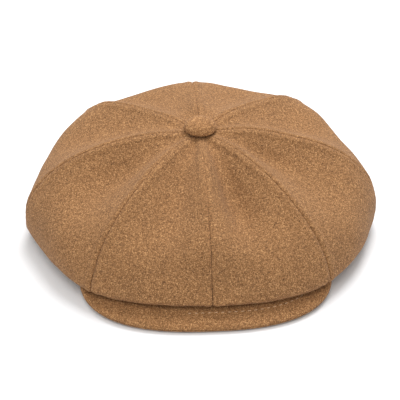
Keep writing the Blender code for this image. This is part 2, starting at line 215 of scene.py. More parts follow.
# The band's back seam, the sweatband's fullness and gathers beside the elastic, and the elastic's seams and
# ribs: how deep they are, how wide the seams are in degrees, and how closely gathers and ribs follow on.
BAND_SEAM_DEPTH = 0.0009
BAND_SEAM_SPAN = 0.7
SWEATBAND_FULLNESS = 0.0002
SWEATBAND_GATHER = 0.00025
SWEATBAND_GATHERS = 150
ELASTIC_SEAM = 0.3
RIB_DEPTH = 0.00022
RIB_RADIANS_PER_DEGREE = 9.5

# The maker label: its middle and half width in degrees, and its stretch of the way from apex to band.
LABEL_PANEL = 3
LABEL_ANGLE = 157.5
LABEL_SPAN = 10.5
LABEL_WAY = (0.29, 0.44)

# The care label: how much its tape stays short of its solid, one leaf's thickness, and its curl.
CARE_LABEL_SHORT = 0.0018
CARE_LABEL_LEAF = 0.00034
CARE_LABEL_CURL = 0.0005
CARE_LABEL_CUP = 0.0002

# The brim: its edge seam's opening angle, its unevenness, and the board's inset from the edge.
BRIM_EDGE_OPENING = 0.06
BRIM_UNEVENNESS = 0.0003
BOARD_INSET = 0.0028

# The button: how full its dome is, its hem's steps in from the rim and their heights, its gathers, and how
# far it settles into the crown.
BUTTON_FULLNESS = 0.92
BUTTON_HEM_STEPS = np.array((0.0003, 0.0010, 0.0020))
BUTTON_HEM_HEIGHTS = np.array((0.0010, 0.0005, 0.0003))
BUTTON_PLEATS = 17
BUTTON_PLEAT_DEPTH = 0.00012
BUTTON_SINK = 0.0007

# Stitches: each one's length in sight and the gap to the next, the thread, where the rows run (how far in
# from the brim's edge and over which share of its width, how high on the sweatband and how many degrees to
# each side of the front), and how far the thread's middle lies off the cloth.
THREAD_RADIUS = 0.00022
THREAD_SIDES = 8
BRIM_STITCH = (0.0027, 0.0026)
LABEL_STITCH = (0.0016, 0.0010)
SWEATBAND_STITCH = (0.0023, 0.0011)
BRIM_STITCH_DISTANCE = 0.0140
BRIM_STITCH_SHARES = (0.44, 0.80)
SWEATBAND_STITCH_HEIGHTS = (0.0038, 0.0268)
SWEATBAND_STITCH_REACH = 161
BRIM_THREAD_LIFT = 0.0001
SWEATBAND_THREAD_LIFT = 0.00005

UP = np.array((0.0, 0.0, 1.0))

# The cap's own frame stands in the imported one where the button's axis says.
button_low, button_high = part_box("button_cover")
button_middle = (button_low + button_high) / 2
ORIGIN = np.array((button_middle.x, button_middle.y - APEX_SETBACK, cad_low.z))


# Mesh helpers -----------------------------


def smoothstep(low, high, value):
    share = np.clip((value - low) / (high - low), 0, 1)
    return share * share * (3 - 2 * share)


def bump(centre, span, value):
    """1 at the centre, falling smoothly to 0 one span away."""
    return 1 - smoothstep(0, span, np.abs(value - centre))


def wander(points, size, seed):
    """Smooth unevenness of about -1 to 1, with features of about size metres."""
    flat = points.reshape(-1, 3) / size + seed
    values = [noise.noise(Vector(point)) for point in flat]
    return 1.6 * np.array(values).reshape(points.shape[:-1])


def unit(vectors):
    return vectors / np.maximum(np.linalg.norm(vectors, axis=-1, keepdims=True), 1e-12)


def add_object(name, data):
    obj = bpy.data.objects.new(name, data)
    bpy.context.scene.collection.objects.link(obj)
    return obj


def cloth_mesh(name, vertices, faces, material, uv=None):
    """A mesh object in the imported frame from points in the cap's own frame."""
    data = bpy.data.meshes.new(name)
    data.from_pydata((vertices + ORIGIN).tolist(), [], faces)
    if uv is not None:
        layer = data.uv_layers.new(name="cloth")
        corners = np.empty(len(data.loops), dtype=np.int32)
        data.loops.foreach_get("vertex_index", corners)
        layer.data.foreach_set("uv", uv[corners].astype(np.float32).ravel())
    data.shade_smooth()
    data.materials.append(material)
    return add_object(name, data)


def strip_faces(first, second, wrapped):
    """Quads between two rows of vertex numbers."""
    count = len(first) if wrapped else len(first) - 1
    following = [(index + 1) % len(first) for index in range(count)]
    return [(first[i], first[j], second[j], second[i]) for i, j in zip(range(count), following)]


def closed_cloth(name, outer, inner, uv, material, ring=False):
    """Cloth with both its faces and its rims, from two grids of points: columns, rows and coordinates."""
    columns, rows = outer.shape[:2]
    top = np.arange(columns * rows).reshape(columns, rows)
    under = top + columns * rows
    faces = []
    for column in range(columns if ring else columns - 1):
        ahead = (column + 1) % columns
        faces += strip_faces(top[column].tolist(), top[ahead].tolist(), False)
        faces += strip_faces(under[ahead].tolist(), under[column].tolist(), False)
    faces += strip_faces(under[:, 0].tolist(), top[:, 0].tolist(), ring)
    faces += strip_faces(top[:, -1].tolist(), under[:, -1].tolist(), ring)
    if not ring:
        faces += strip_faces(top[0].tolist(), under[0].tolist(), False)
        faces += strip_faces(under[-1].tolist(), top[-1].tolist(), False)
    vertices = np.concatenate([outer.reshape(-1, 3), inner.reshape(-1, 3)])
    coordinates = np.concatenate([uv.reshape(-1, 2)] * 2)
    obj = cloth_mesh(name, vertices, faces, material, coordinates)
    face_out(obj)
    return obj


def face_out(obj):
    """Turns a closed mesh right side out, by the sign of its volume."""
    data = obj.data
    data.calc_loop_triangles()
    points = np.empty(len(data.vertices) * 3)
    data.vertices.foreach_get("co", points)
    points = points.reshape(-1, 3)
    corners = np.empty(len(data.loop_triangles) * 3, dtype=np.int32)
    data.loop_triangles.foreach_get("vertices", corners)
    a, b, c = (points[corners.reshape(-1, 3)[:, index]] for index in range(3))
    if (a * np.cross(b, c)).sum() < 0:
        data.flip_normals()


def place_piece(obj, body, slot, *replaced):
    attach(obj, body)
    if replaced:
        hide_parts(*replaced)


def joint_place(name):
    joint = next(joint for joint in frame["joints"] if joint["name"] == name)
    return np.array(joint["pos_m"])


# Shapes of the solids ---------------------


def band_point(angle, height, outward=0.0):
    """Points on the band's outer face; the angle is 0 at the front and grows towards the wearer's left."""
    across = (BAND_HALF_WIDTH + outward) * np.sin(angle)
    along = -(BAND_HALF_LENGTH + outward) * np.cos(angle) - BAND_HALF_LENGTH
    y = along * cos(BAND_TILT) + height * sin(BAND_TILT) + BAND_HALF_LENGTH
    z = -along * sin(BAND_TILT) + height * cos(BAND_TILT)
    return np.stack(np.broadcast_arrays(across, y, z), axis=-1)


def spread_evenly(points, count, bend_weight=0.0):
    """The same line with points evenly spaced, where each radian of bend counts as bend_weight of length."""
    steps = np.diff(points, axis=0)
    lengths = np.linalg.norm(steps, axis=1)
    headings = steps / lengths[:, None]
    bends = np.arccos(np.clip((headings[1:] * headings[:-1]).sum(axis=1), -1, 1))
    lengths[1:] += bend_weight * bends
    travelled = np.concatenate([[0], np.cumsum(lengths)])
    places = np.linspace(0, travelled[-1], count)
    return np.stack([np.interp(places, travelled, points[:, axis]) for axis in range(3)], axis=1)


def crown_profile(angle):
    """The crown's outer line at one angle, from the hole at the apex, over the edge, in to the band."""
    reach = CROWN_REACH - CROWN_WIDENING * cos(2 * angle)
    reach += CROWN_REAR_FULLNESS * cos(3 * angle) + CROWN_LEAN * sin(angle)
    edge_height = EDGE_HEIGHT + EDGE_FRONT_LIFT * cos(angle) + EDGE_SIDE_DROP * cos(2 * angle)
    power = DOME_POWER + DOME_POWER_SWING * cos(angle)
    between_seams = abs(sin(PANELS / 2 * angle))
    turn_to_edge = np.linspace(asin(APEX_HOLE / reach), pi / 2, PROFILE_STEPS)
    spread = np.sin(turn_to_edge)
    flattening = PANEL_FLATTENING * (1 - FRONT_ROUNDING * max(cos(angle), 0) ** 2)
    radius = reach * spread - flattening * between_seams**2 * spread**6
    place = VALLEY_PLACE + VALLEY_PLACE_SWING * cos(angle)
    valley = VALLEY_DEPTH * between_seams**1.3 * np.sin(pi * spread**place)
    dome = np.maximum(np.cos(turn_to_edge), 0) ** power
    dimple = DIMPLE_DEPTH * (1 - smoothstep(DIMPLE_FLAT, DIMPLE_RADIUS, radius))
    height = edge_height + (DOME_HEIGHT - edge_height) * dome - valley - dimple
    x = radius * sin(angle)
    y = APEX_SETBACK * (1 - spread) - radius * cos(angle)
    upper = np.stack([x, y, height], axis=1)
    return np.concatenate([upper, crown_underside(angle, upper[-1])])


def crown_underside(angle, edge):
    """The crown's line from its edge: an arc that rolls under, then straight in to just above the band."""
    end = band_point(angle, BAND_HEIGHT + CROWN_CLEARANCE, CROWN_CLEARANCE)
    distance = np.hypot(*(end - edge)[:2])
    inward = (end - edge)[:2] / distance
    rise = end[2] - edge[2]
    from_centre = np.hypot(distance - ROLL_RADIUS, rise)
    last = 2 * pi + np.arctan2(rise, distance - ROLL_RADIUS) - np.arccos(ROLL_RADIUS / from_centre)
    arc = np.linspace(pi, last, ROLL_STEPS)[1:]
    across = ROLL_RADIUS * (1 + np.cos(arc))
    x, y = edge[:2, None] + inward[:, None] * across
    roll = np.stack([x, y, edge[2] + ROLL_RADIUS * np.sin(arc)], axis=1)
    straight = np.linspace(roll[-1], end, ROLL_STEPS)[1:]
    return np.concatenate([roll, straight])


# Crown ------------------------------------


class Crown:
    """The crown's skin all round: its points, the way in, how far each lies from a seam, and its relief."""

    def __init__(self):
        step = tau / PANELS
        even = np.arange(PANEL_COLUMNS) / PANEL_COLUMNS
        crowded = even - SEAM_CROWDING * np.sin(tau * even) / tau
        self.angles = np.concatenate([(index + crowded) * step for index in range(PANELS)])
        self.skin = np.stack([spread_evenly(crown_profile(a), CROWN_ROWS, BEND_WEIGHT) for a in self.angles])
        self.inward = self.way_in()
        self.across, self.from_seam = self.distances()
        steps = np.linalg.norm(np.diff(self.skin, axis=1), axis=2)
        self.run = np.concatenate([np.zeros((len(self.angles), 1)), np.cumsum(steps, axis=1)], axis=1)
        self.way = self.run / self.run[:, -1:]
        self.relief = self.make_relief()

    def way_in(self):
        around = np.roll(self.skin, -1, axis=0) - np.roll(self.skin, 1, axis=0)
        inward = unit(np.cross(around, np.gradient(self.skin, axis=1)))
        from_apex = np.hypot(self.skin[..., 0], self.skin[..., 1] - APEX_SETBACK) / LEVEL_RADIUS
        return unit(inward - UP * np.maximum(1 / from_apex - 1, 0)[..., None])

    def distances(self):
        """Along each row: the distance across the panel from its middle, and from its nearer seam."""
        steps = np.linalg.norm(np.roll(self.skin, -1, axis=0) - self.skin, axis=2)
        steps = steps.reshape(PANELS, PANEL_COLUMNS, CROWN_ROWS)
        passed = np.cumsum(steps, axis=1)
        width = passed[:, -1:]
        start = passed - steps
        shape = self.skin.shape[:2]
        return (start - width / 2).reshape(shape), np.minimum(start, width - start).reshape(shape)

    def make_relief(self):
        """How far each point lies in from the solid's smooth skin."""
        roll = np.maximum(SEAM_ROLL - self.from_seam, 0)
        seam = SEAM_ROLL - np.sqrt(SEAM_ROLL**2 - roll**2)
        welt = -SEAM_WELT * bump(SEAM_WELT_PLACE, SEAM_WELT_SPAN, self.from_seam)
        phase = tau * self.run / PUCKER_PITCH + 3 * wander(self.skin, 0.030, 5.3)
        pucker = PUCKER_DEPTH * np.sin(phase) * np.exp(-self.from_seam / PUCKER_REACH)
        uneven = UNEVENNESS * wander(self.skin, 0.055, 2.7)
        uneven += 0.25 * UNEVENNESS * wander(self.skin, 0.018, 8.1)
        folds = np.zeros(self.skin.shape[:2])
        for angle, span, way, length, depth in SOFT_FOLDS:
            turned = (np.degrees(self.angles)[:, None] - angle + 180) % 360 - 180
            folds += depth * bump(0, span, turned) * bump(way, length, self.way)
        folds += self.rest_on_brim()
        crest = -SEAM_CREST * bump(0, SEAM_CREST_WIDTH, self.from_seam)
        crest = crest * np.sin(self.angles[:, None]) ** 2 * bump(0.35, 0.35, self.way)
        away_from_ends = smoothstep(0, 0.10, self.way) * (1 - smoothstep(0.93, 1.0, self.way))
        gathers = GATHER_DEPTH * np.sin(GATHERS * self.angles[:, None] + 1.5 * wander(self.skin, 0.060, 4.4))
        gathers *= smoothstep(0.80, 0.97, self.way)
        return seam + (welt + crest + pucker + uneven + folds + gathers) * away_from_ends

    def rest_on_brim(self):
        """How far the roll at the crown's front comes out, below 0, so that it lies on the brim."""
        brim = Brim()
        distance = brim.width[:, None] * np.linspace(0, 1, BRIM_ROWS)
        top = brim.place(distance, np.full(distance.shape, BOARD / 2 + GAP + WOOL)).reshape(-1, 3)
        lowest = self.skin[..., 2].argmin(axis=1)
        drop = np.zeros(self.skin.shape[:2])
        for column, row in enumerate(lowest):
            turned = abs((self.angles[column] + pi) % tau - pi)
            point = self.skin[column, row]
            under = top[np.hypot(*(top - point)[:, :2].T).argmin()]
            room = max(point[2] - under[2] - REST_CLEARANCE, 0)
            share = 1 - smoothstep(radians(REST_ANGLES[0]), radians(REST_ANGLES[1]), turned)
            lowest_way = self.way[column, row] + REST_FURTHER
            drop[column] = -room * share * bump(lowest_way, REST_SPAN, self.way[column])
        return drop

    def columns_of(self, panel):
        first = panel * PANEL_COLUMNS
        return np.arange(first, first + PANEL_COLUMNS + 1) % len(self.angles)

    def layer(self, panel, depth, relief):
        """One panel's points, sunk by depth under a relief, its two sides a hair inside the seams."""
        columns = self.columns_of(panel)
        sunk = relief[columns] + depth
        points = self.skin[columns] + self.inward[columns] * sunk[..., None]
        across = points[-1] - points[0]
        squeeze = SEAM_APART * across / np.linalg.norm(across, axis=1)[:, None]
        points[0] += squeeze
        points[-1] -= squeeze
        return points

    def uv(self, panel):
        columns = self.columns_of(panel)
        across = self.across[columns].copy()
        across[-1] = -across[0]
        return np.stack([across, self.run[columns]], axis=-1)


def place_gore(obj, panel, replaced):
    """The front panels' lower edge lies on the brim, and they are left unattached; the others stay with the
    band.
    """
    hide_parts(replaced)
    if panel in FRONT_PANELS:
        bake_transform(obj)
    else:
        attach(obj, "cap")


def make_crown(crown, looks):
    for panel in range(PANELS):
        outer = crown.layer(panel, 0, crown.relief)
        inner = crown.layer(panel, WOOL, crown.relief)
        name = f"crown_cloth_{panel + 1}"
        obj = closed_cloth(name, outer, inner, crown.uv(panel), looks["wool"])
        place_gore(obj, panel, f"crown_panel_{panel + 1}")


def make_lining(crown, looks):
    """Satin panels that hang a little loose inside the crown, gathered in towards the sweatband."""
    slack = LINING_SLACK + LINING_WANDER * (1 + wander(crown.skin, 0.030, 6.6))
    gathers = 1 + np.sin(crown.angles * LINING_GATHERS)[:, None]
    slack += LINING_GATHER * gathers * smoothstep(0.55, 0.95, crown.way)
    near_label = bump(LABEL_ANGLE, 16, np.degrees(crown.angles)[:, None]) * bump(0.34, 0.22, crown.way)
    slack *= (1 - np.minimum(1.6 * near_label, 1)) * smoothstep(0.02, 0.12, crown.way)
    relief = np.maximum(crown.relief, 0) + np.maximum(slack, 0)
    depth = WOOL + 2 * GAP
    for panel in range(PANELS):
        outer = tuck_in(crown, panel, crown.layer(panel, depth, relief), 0.0003)
        inner = tuck_in(crown, panel, crown.layer(panel, depth + 0.5 * LINING, relief), -0.0001)
        name = f"lining_cloth_{panel + 1}"
        obj = closed_cloth(name, outer, inner, crown.uv(panel), looks["lining"])
        place_gore(obj, panel, f"lining_panel_{panel + 1}")


def tuck_in(crown, panel, points, outward):
    """Leads the lining's lower end over the band to the top of the sweatband, where it is sewn in."""
    columns = crown.columns_of(panel)
    middle = -BAND_BUILD_UP + TWILL / 2
    seam = band_point(crown.angles[columns], BAND_HEIGHT + 0.0006 + outward, middle + outward)
    share = smoothstep(0.945, 1.0, crown.way[columns])[..., None]
    return points + (seam[:, None] - points) * share


# Band -------------------------------------


def rounded_section(low, high, outside, inside, steps=6):
    """Outer and inner halves of a strip's section with round edges: heights and places, bottom to top."""
    middle, radius = (outside + inside) / 2, (outside - inside) / 2
    turn = np.linspace(0, pi / 2, steps)
    straight = np.linspace(low + radius, high - radius, 14)[1:-1]
    bottom = low + radius - radius * np.cos(turn)
    top = high - radius + radius * np.sin(turn)
    heights = np.concatenate([bottom, straight, top])
    bulge = radius * np.concatenate([np.sin(turn), np.ones(len(straight)), np.cos(turn)])
    bulge = np.maximum(bulge, radius * 0.02)
    return heights, middle + bulge, middle - bulge


def make_strip(name, looks, slot, section, angles, ring=False, relief=None, columns=BAND_COLUMNS):
    """A strip along the band's oval; relief moves its two faces by column and row."""
    heights, outer, inner = section
    first, last = (radians(a) for a in angles)
    turned = np.linspace(first, last, columns + (0 if ring else 1), endpoint=not ring)[:, None]
    moved = 0 if relief is None else relief(np.degrees(turned), heights)
    outside = band_point(turned, heights, outer + moved)
    inside = band_point(turned, heights, inner + moved)
    run = turned * (BAND_HALF_LENGTH + BAND_HALF_WIDTH) / 2
    uv = np.stack(np.broadcast_arrays(run, heights), axis=-1)
    return closed_cloth(name, outside, inside, uv, looks[slot], ring)


def make_band(looks):
    section = rounded_section(0, BAND_HEIGHT, 0, -WOOL)

    def seam_behind(angle, heights):
        return -BAND_SEAM_DEPTH * bump(180, BAND_SEAM_SPAN, np.abs(angle)) + 0 * heights

    band = make_strip("band_cloth", looks, "wool", section, (-180, 180), True, seam_behind, 2 * BAND_COLUMNS)
    place_piece(band, "cap", "wool", "outer_band")

    face = -WOOL - BUCKRAM - 2 * GAP
    section = rounded_section(SWEATBAND_INSET, BAND_HEIGHT, face, face - TWILL)
    ends = (-180 + ELASTIC_HALF_ANGLE, 180 - ELASTIC_HALF_ANGLE)

    def hems(angle, heights):
        """Sewn down along both edges, a touch full between them, and gathered next to the elastic."""
        near_elastic = smoothstep(140, 162, np.abs(angle))
        gathered = SWEATBAND_GATHER * np.sin(np.radians(angle) * SWEATBAND_GATHERS) * near_elastic
        return -SWEATBAND_FULLNESS * bump(0.5, 0.42, heights / BAND_HEIGHT) + gathered

    sweatband = make_strip("sweatband_cloth", looks, "sweatband", section, ends, relief=hems)
    place_piece(sweatband, "cap", "sweatband", "sweatband")

    half_angle = ELASTIC_HALF_ANGLE - ELASTIC_SEAM
    ends = (180 - half_angle, 180 + half_angle)

    def ribs(angle, heights):
        return RIB_DEPTH * np.sin(angle * RIB_RADIANS_PER_DEGREE) * bump(0.5, 0.52, heights / BAND_HEIGHT)

    elastic = make_strip("elastic_webbing", looks, "elastic", section, ends, relief=ribs)
    place_piece(elastic, "cap", "elastic", "sweatband_elastic")


# Brim -------------------------------------


def brim_outline(count):
    """The brim's outer edge from the wearer's right round the tip to the left, evenly spaced."""
    power = 2 / BRIM_SQUARENESS
    points = []
    for turn_angle in np.linspace(-pi / 2, pi / 2, BRIM_FRONT_STEPS):
        x = (BRIM_HALF_WIDTH + BRIM_PROUD) * np.sign(turn_angle) * abs(sin(turn_angle)) ** power
        y = -BRIM_WIDEST - (BRIM_TIP - BRIM_WIDEST) * abs(cos(turn_angle)) ** power
        place = Vector((x, y, BRIM_EDGE_HEIGHT + BRIM_EDGE_SLOPE * (y + BRIM_TIP)))
        place.rotate(Euler((0, 0, BRIM_TURN)))
        points.append(place)
    right = brim_end(points[0], -BRIM_WRAP)
    left = brim_end(points[-1], BRIM_WRAP)
    return spread_evenly(np.array(right[::-1] + points[1:-1] + left), count)


def brim_end(widest, angle):
    """The outline's last stretch, from its widest point back in to the band."""
    end = Vector(band_point(angle, BRIM_SEAM_HEIGHT, BRIM_END_WIDTH))
    behind_widest = widest + Vector((0, BRIM_END_FULLNESS, 0))
    beside_end = end.lerp(widest, BRIM_END_LEAN)
    return list(interpolate_bezier(widest, behind_widest, beside_end, end, BRIM_END_STEPS))


class Brim:
    """The brim's middle surface, from the band's seam out to its outline."""

    def __init__(self):
        angles = BRIM_WRAP * np.linspace(-1, 1, BRIM_COLUMNS + 1)
        self.inner = band_point(angles, BRIM_SEAM_HEIGHT, BRIM_SEAM_OFFSET)
        self.outer = brim_outline(BRIM_COLUMNS + 1)
        self.width = np.linalg.norm(self.outer - self.inner, axis=1)

    def place(self, distance, height):
        """Points at a distance back from the outer edge, in columns, at a height over the middle surface."""
        share = 1 - distance / self.width[:, None]
        flat = self.inner[:, None] + (self.outer - self.inner)[:, None] * share[..., None]
        return flat + UP * height[..., None]


def make_brim(looks):
    """Two covers that fold round the edge to meet there, the board between them, and a row of stitches."""
    brim = Brim()
    half = BOARD / 2 + GAP + WOOL
    along, fall = cover_line(brim, half, half)
    inner_along, inner_fall = cover_line(brim, half, half - WOOL)
    uneven = BRIM_UNEVENNESS * wander(brim.place(along, 0 * along), 0.022, 9.2) * (along > half)
    run = np.cumsum(np.linalg.norm(np.diff(brim.outer, axis=0, prepend=brim.outer[:1]), axis=1))
    uv = np.stack(np.broadcast_arrays(run[:, None], along), axis=-1)
    covers = (("brim_top_cloth", 1, "brim_top_cover"), ("brim_under_cloth", -1, "brim_under_cover"))
    for name, side, node in covers:
        outer = brim.place(along, side * (fall + uneven))
        inner = brim.place(inner_along, side * inner_fall)
        # The covers take the brightened wool, painted light.
        obj = closed_cloth(name, outer, inner, uv, looks["painted_light_wool"])
        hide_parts(node)
        bend_with_brim(obj)
    make_board(brim, looks)
    make_brim_stitches(brim, looks)


def cover_line(brim, half, radius):
    """One face of a cover in every column: distances back from the edge, and heights off the middle."""
    turn = np.linspace(BRIM_EDGE_OPENING, pi / 2, BRIM_TURN_ROWS)
    length = brim.width[:, None] + BRIM_SEAM_OFFSET - GAP
    back = half + (length - half) * np.linspace(0, 1, BRIM_ROWS)[None, 1:]
    edge = half - radius * np.cos(turn) + 0 * length
    heights = radius * np.concatenate([np.sin(turn), np.ones(BRIM_ROWS - 1)])
    return np.concatenate([edge, back], axis=1), heights + 0 * length


def make_board(brim, looks):
    """The thin board between the covers."""
    distance = BOARD_INSET + (brim.width[:, None] - BOARD_INSET) * np.linspace(0, 1, 12)[None]
    uv = np.stack(np.broadcast_arrays(brim.outer[:, :1], distance), axis=-1)
    top = brim.place(distance, np.full(distance.shape, BOARD / 2))
    under = brim.place(distance, np.full(distance.shape, -BOARD / 2))
    obj = closed_cloth("visor_board", top, under, uv, looks["visor_plastic"])
    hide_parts("brim_board")
    bend_with_brim(obj)


def make_brim_stitches(brim, looks):
    """A short row of light stitches on top of the brim, just in front of the crown."""
    first, last = (round(BRIM_COLUMNS * share) for share in BRIM_STITCH_SHARES)
    distance = np.full((BRIM_COLUMNS + 1, 1), BRIM_STITCH_DISTANCE)
    height = np.full(distance.shape, BOARD / 2 + GAP + WOOL + BRIM_THREAD_LIFT)
    line = brim.place(distance, height)[first:last, 0]
    obj = add_stitches("brim_top_stitches", looks["light_thread"], line, UP, BRIM_STITCH)
    bend_with_brim(obj)


def bend_with_brim(obj):
    """Keeps the piece where it is, with its placement baked into its points; it is attached to no body."""
    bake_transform(obj)


# Button -----------------------------------


def make_button(looks):
    """A dome of cloth drawn tight over a metal shell, gathered under its rim."""
    around = np.linspace(0, tau, BUTTON_COLUMNS, endpoint=False)[:, None]
    turn = np.linspace(0.02, pi / 2, BUTTON_ROWS)
    rise = BUTTON_HEIGHT + BUTTON_PROUD - BUTTON_RIM
    dome = BUTTON_RADIUS * np.sin(turn) ** BUTTON_FULLNESS
    radius = np.concatenate([dome, BUTTON_RADIUS - BUTTON_HEM_STEPS])
    height = np.concatenate([BUTTON_RIM + rise * np.cos(turn), BUTTON_HEM_HEIGHTS])
    share_out = radius / BUTTON_RADIUS
    pleats = np.sin(around * BUTTON_PLEATS + 0.6 * np.sin(around * 3)) * smoothstep(0.7, 1.0, share_out)
    outer = turned(around, radius + BUTTON_PLEAT_DEPTH * pleats, height + 0 * around)
    thickness = BUTTON_CLOTH * np.sin(np.minimum(share_out, 1) * pi / 2)
    inner_radius = np.maximum(radius - thickness, 0.0001)
    inner_height = np.maximum(height - BUTTON_CLOTH, 0.0002)
    inner = turned(around, inner_radius + 0 * around, inner_height + 0 * around)
    uv = np.stack(np.broadcast_arrays(around * BUTTON_RADIUS, height), axis=-1)
    # The button takes the brightened wool, painted light.
    obj = closed_cloth("button_cloth", outer, inner, uv, looks["painted_light_wool"], ring=True)
    place_piece(obj, "cap", "wool", "button_cover")


def turned(around, radius, height):
    """Points round the button's axis, with heights from where its rim sits."""
    base = button_low.z - ORIGIN[2] - BUTTON_SINK
    x = radius * np.sin(around)
    y = APEX_SETBACK - radius * np.cos(around)
    return np.stack(np.broadcast_arrays(x, y, base + height), axis=-1)


# Labels -----------------------------------


def make_maker_label(crown, looks):
    """A blank woven patch, sewn flat to a rear lining panel."""
    columns = crown.columns_of(LABEL_PANEL)
    near = np.abs(np.degrees(crown.angles[columns]) - LABEL_ANGLE) < LABEL_SPAN
    rows = (crown.way[columns[0]] > LABEL_WAY[0]) & (crown.way[columns[0]] < LABEL_WAY[1])
    relief = np.maximum(crown.relief, 0)
    depth = WOOL + 5 * GAP + LINING
    outer = crown.layer(LABEL_PANEL, depth, relief)[near][:, rows]
    inner = crown.layer(LABEL_PANEL, depth + LABEL, relief)[near][:, rows]
    uv = crown.uv(LABEL_PANEL)[near][:, rows]
    obj = closed_cloth("maker_label_patch", outer, inner, uv, looks["label"])
    place_piece(obj, "cap", "label", "maker_label")
    border = np.concatenate([inner[1:-1, 1], inner[-2, 1:-1], inner[-2:0:-1, -2], inner[1, -2:0:-1]])
    inward = unit(inner - outer).mean(axis=(0, 1))
    stitches = add_stitches("maker_label_stitches", looks["thread"], border, inward, LABEL_STITCH)
    place_piece(stitches, "cap", "thread")


def make_size_label(looks):
    """A small blank tab on the sweatband beside the elastic."""
    face = -BAND_BUILD_UP - 2 * GAP
    section = rounded_section(*SIZE_LABEL_HEIGHTS, face, face - LABEL)
    obj = make_strip("size_label_tab", looks, "label", section, SIZE_LABEL_ANGLES, columns=24)
    place_piece(obj, "cap", "label", "size_label")


def make_care_label(looks):
    """A blank tape folded in two, its ends sewn under the sweatband's top seam, so that it flips up."""
    low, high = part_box("care_label")
    top = joint_place("care_label_flip") - ORIGIN
    left = np.array((1.0, 0.0, 0.0))
    down = np.array((0, -sin(BAND_TILT), -cos(BAND_TILT)))
    sideways = np.array((0, cos(BAND_TILT), -sin(BAND_TILT)))
    length = (high.z - low.z) / cos(BAND_TILT) - CARE_LABEL_SHORT
    half = (high.x - low.x) / 2
    inside = half - CARE_LABEL_LEAF
    tape = CARE_LABEL_CUT[0]
    fold = np.linspace(-pi / 2, pi / 2, 12)
    run = np.linspace(0, length, 26)[:-1]
    along = np.concatenate([run, length + inside * np.cos(fold), run[::-1]])
    outward = np.concatenate([0 * run - 1, np.sin(fold), 0 * run + 1])
    width = np.linspace(-0.5, 0.5, 17)[:, None] * tape
    curl = CARE_LABEL_CURL * (along / length) ** 2
    curl = curl + CARE_LABEL_CUP * np.cos(width / tape * pi) * along / length
    layers = []
    for radius in (half, inside):
        depth = along + (radius - half) * (1 - np.abs(outward)) * 0.6 + 0 * width
        across = outward * radius - curl
        points = down * depth[..., None] + sideways * (width + 0 * depth)[..., None]
        layers.append(top + points + left * across[..., None])
    uv = np.stack(np.broadcast_arrays(width, np.arange(len(along)) * length / len(run)), axis=-1)
    obj = closed_cloth("care_label_tape", *layers, uv, looks["label"])
    place_piece(obj, "care_label", "label", "care_label")


# Stitches ---------------------------------


def add_stitches(name, thread, line, outward, stitch):
    """Short spans of thread along a line; outward is the cloth's outer side, one for all or one a point."""
    length, gap = stitch
    total = np.linalg.norm(np.diff(line, axis=0), axis=1).sum()
    count = max(2, int(total / (length + gap)))
    fine = spread_evenly(line, 2 * count + 1)
    starts, ends = fine[0:-1:2], fine[1::2]
    middles, headings = (starts + ends) / 2, unit(ends - starts)
    places = np.linspace(0, len(line) - 1, 2 * count + 1)[1::2]
    sides = np.broadcast_to(outward, line.shape)
    outward = np.stack([np.interp(places, np.arange(len(line)), sides[:, axis]) for axis in range(3)], axis=1)
    outward = unit(outward - headings * (outward * headings).sum(axis=-1, keepdims=True))
    vertices, faces = [], []
    for middle, heading, out in zip(middles, headings, outward):
        add_stitch(vertices, faces, middle, heading, out, length)
    obj = cloth_mesh(name, np.array(vertices), faces, thread)
    face_out(obj)
    return obj


def add_stitch(vertices, faces, middle, heading, out, length):
    """One span of thread that comes up out of the cloth and dives back in."""
    places = np.array((-0.5, -0.42, -0.2, 0.0, 0.2, 0.42, 0.5)) * length
    thickness = np.array((0.3, 0.8, 1.0, 1.0, 1.0, 0.8, 0.3)) * THREAD_RADIUS
    rise = np.array((-0.9, -0.2, 0.3, 0.45, 0.3, -0.2, -0.9)) * THREAD_RADIUS
    across = np.cross(heading, out)
    turn = np.arange(THREAD_SIDES) * tau / THREAD_SIDES
    rings = []
    for place, thick, lift in zip(places, thickness, rise):
        centre = middle + heading * place + out * lift
        rings.append(range(len(vertices), len(vertices) + THREAD_SIDES))
        vertices += [centre + thick * (cos(a) * out + sin(a) * across) for a in turn]
    for here, ahead in zip(rings, rings[1:]):
        faces += strip_faces(here, ahead, True)
    faces += [tuple(reversed(rings[0])), tuple(rings[-1])]


def make_band_stitches(looks):
    """Rows of stitches that hold the sweatband along both its edges."""
    around = np.radians(np.linspace(-SWEATBAND_STITCH_REACH, SWEATBAND_STITCH_REACH, 900))
    outward = unit(np.stack([-np.sin(around), np.cos(around), 0 * around], axis=1))
    for name, height in zip(("lower", "upper"), SWEATBAND_STITCH_HEIGHTS):
        line = band_point(around, height, -BAND_BUILD_UP - SWEATBAND_THREAD_LIFT)
        obj = add_stitches(f"sweatband_{name}_stitches", looks["thread"], line, outward, SWEATBAND_STITCH)
        place_piece(obj, "cap", "thread")


# Materials --------------------------------

# The wave texture's period at a scale of 1 is about this.
WAVE_PERIOD = 0.3185


